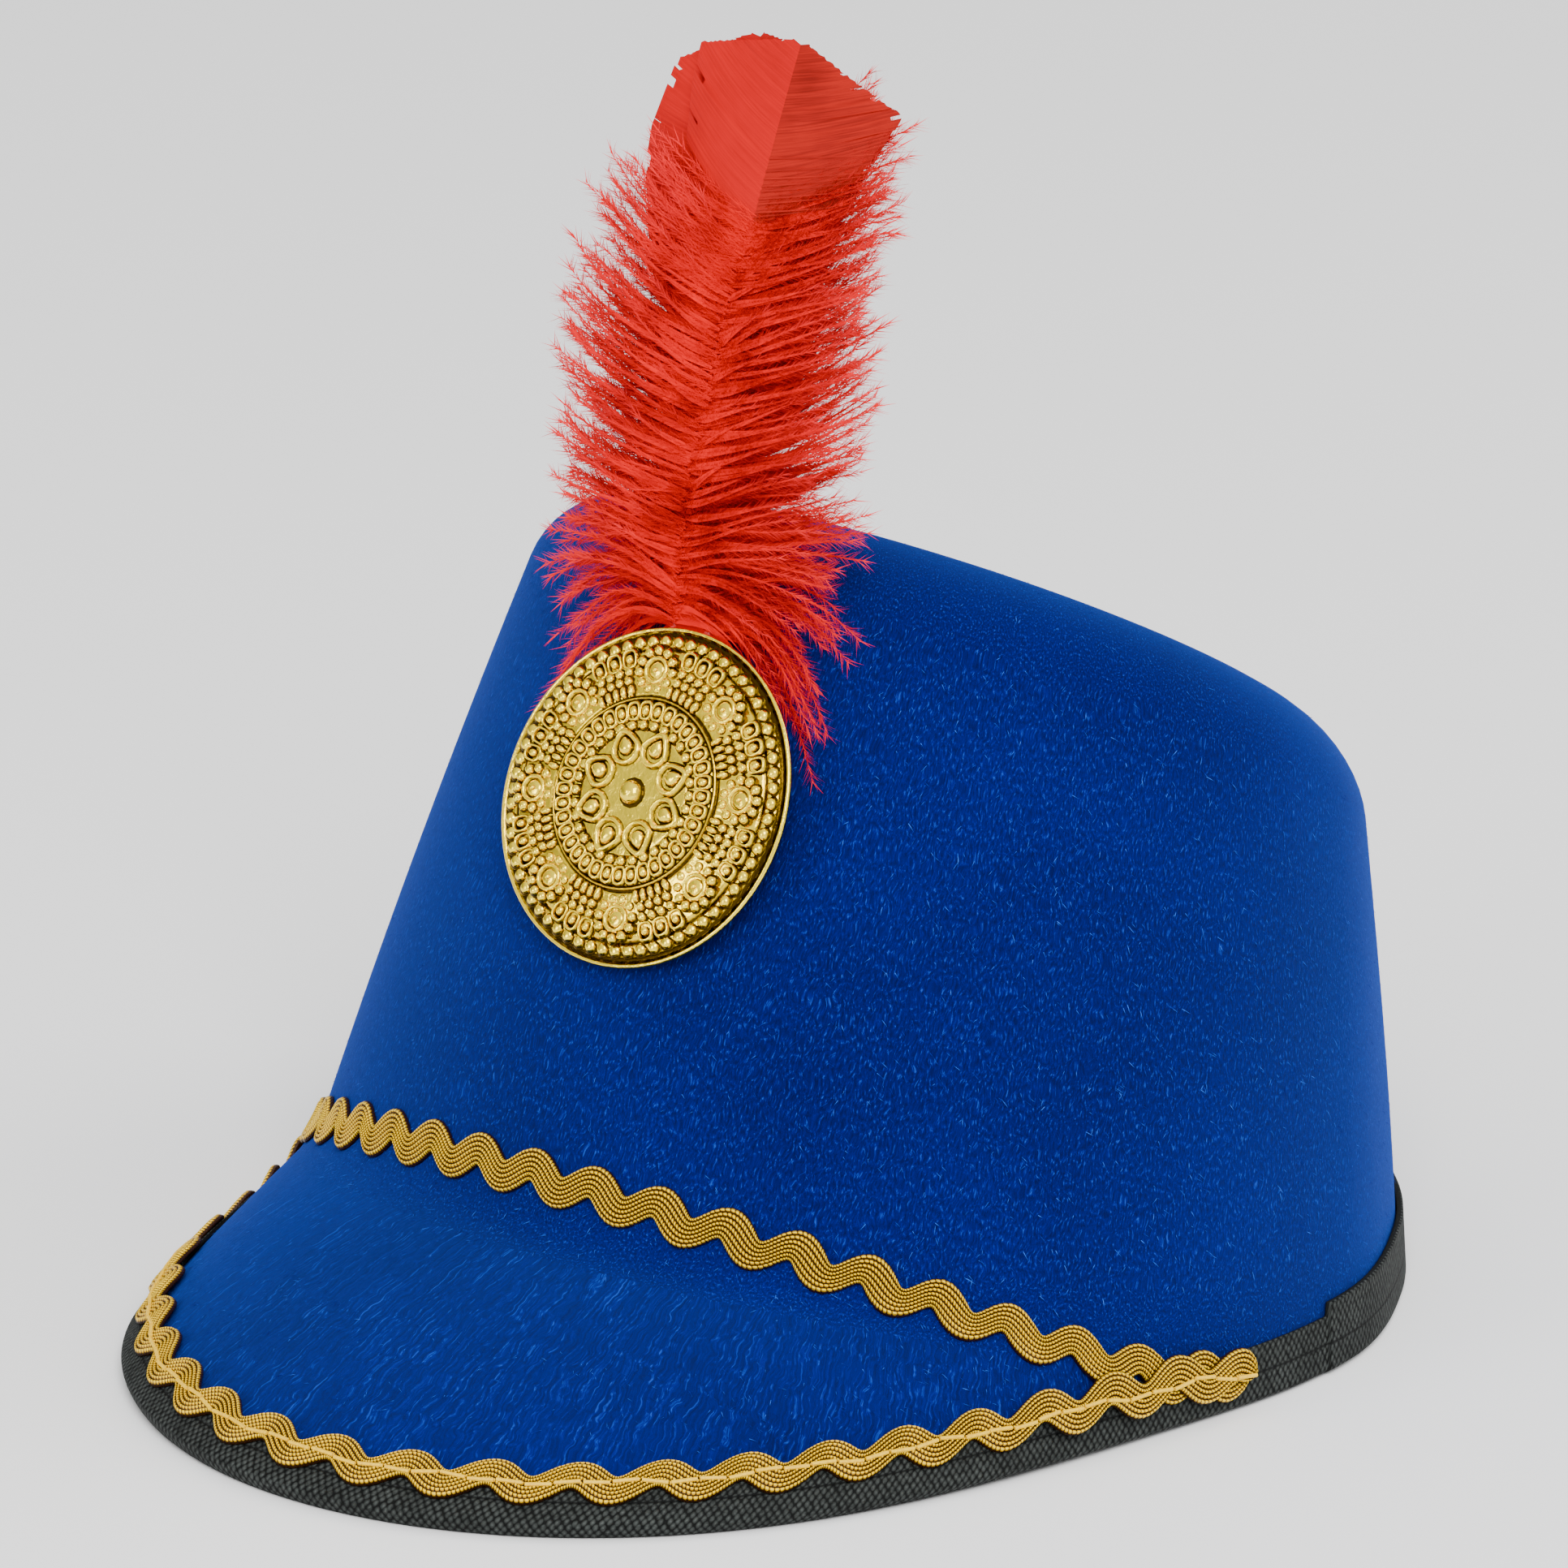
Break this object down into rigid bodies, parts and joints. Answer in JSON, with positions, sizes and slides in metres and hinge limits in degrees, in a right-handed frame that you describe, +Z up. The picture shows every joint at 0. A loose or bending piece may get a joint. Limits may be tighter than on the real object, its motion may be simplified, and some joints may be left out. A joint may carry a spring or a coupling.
{
  "type": "majorette hat",
  "caption": "Blue felt parade hat with a sloping crown, a moulded peak edged in dark tape, gold ric-rac braid, a round stamped gold medallion and a red feather plume.",
  "frame": {"origin": "centre of the base of the hat's bounding box, on the surface that the bound rim stands on", "axes": "+Z up, -Y is the front with the peak, the medallion and the plume, +Y is the back, +X is the wearer's left"},
  "size_m": [0.1968, 0.2434, 0.215],
  "materials": {
    "blue_felt": "brushed royal blue felt, matt",
    "black_tape": "dark grey embossed tape, matt",
    "gold_thread": "woven metallic gold thread",
    "gold_metal": "bright stamped yellow metal",
    "red_feather": "dyed red feather, flat web above and soft down below",
    "plain_plastic": "plain hidden stud"
  },
  "bodies": {
    "root": {"felt_crown_and_peak": "blue_felt", "rim_tape": "black_tape", "braid_upper": "gold_thread", "braid_lower": "gold_thread", "medallion": "gold_metal", "medallion_stud": "plain_plastic", "feather_front": "red_feather", "feather_back": "red_feather"}
  },
  "joints": []
}
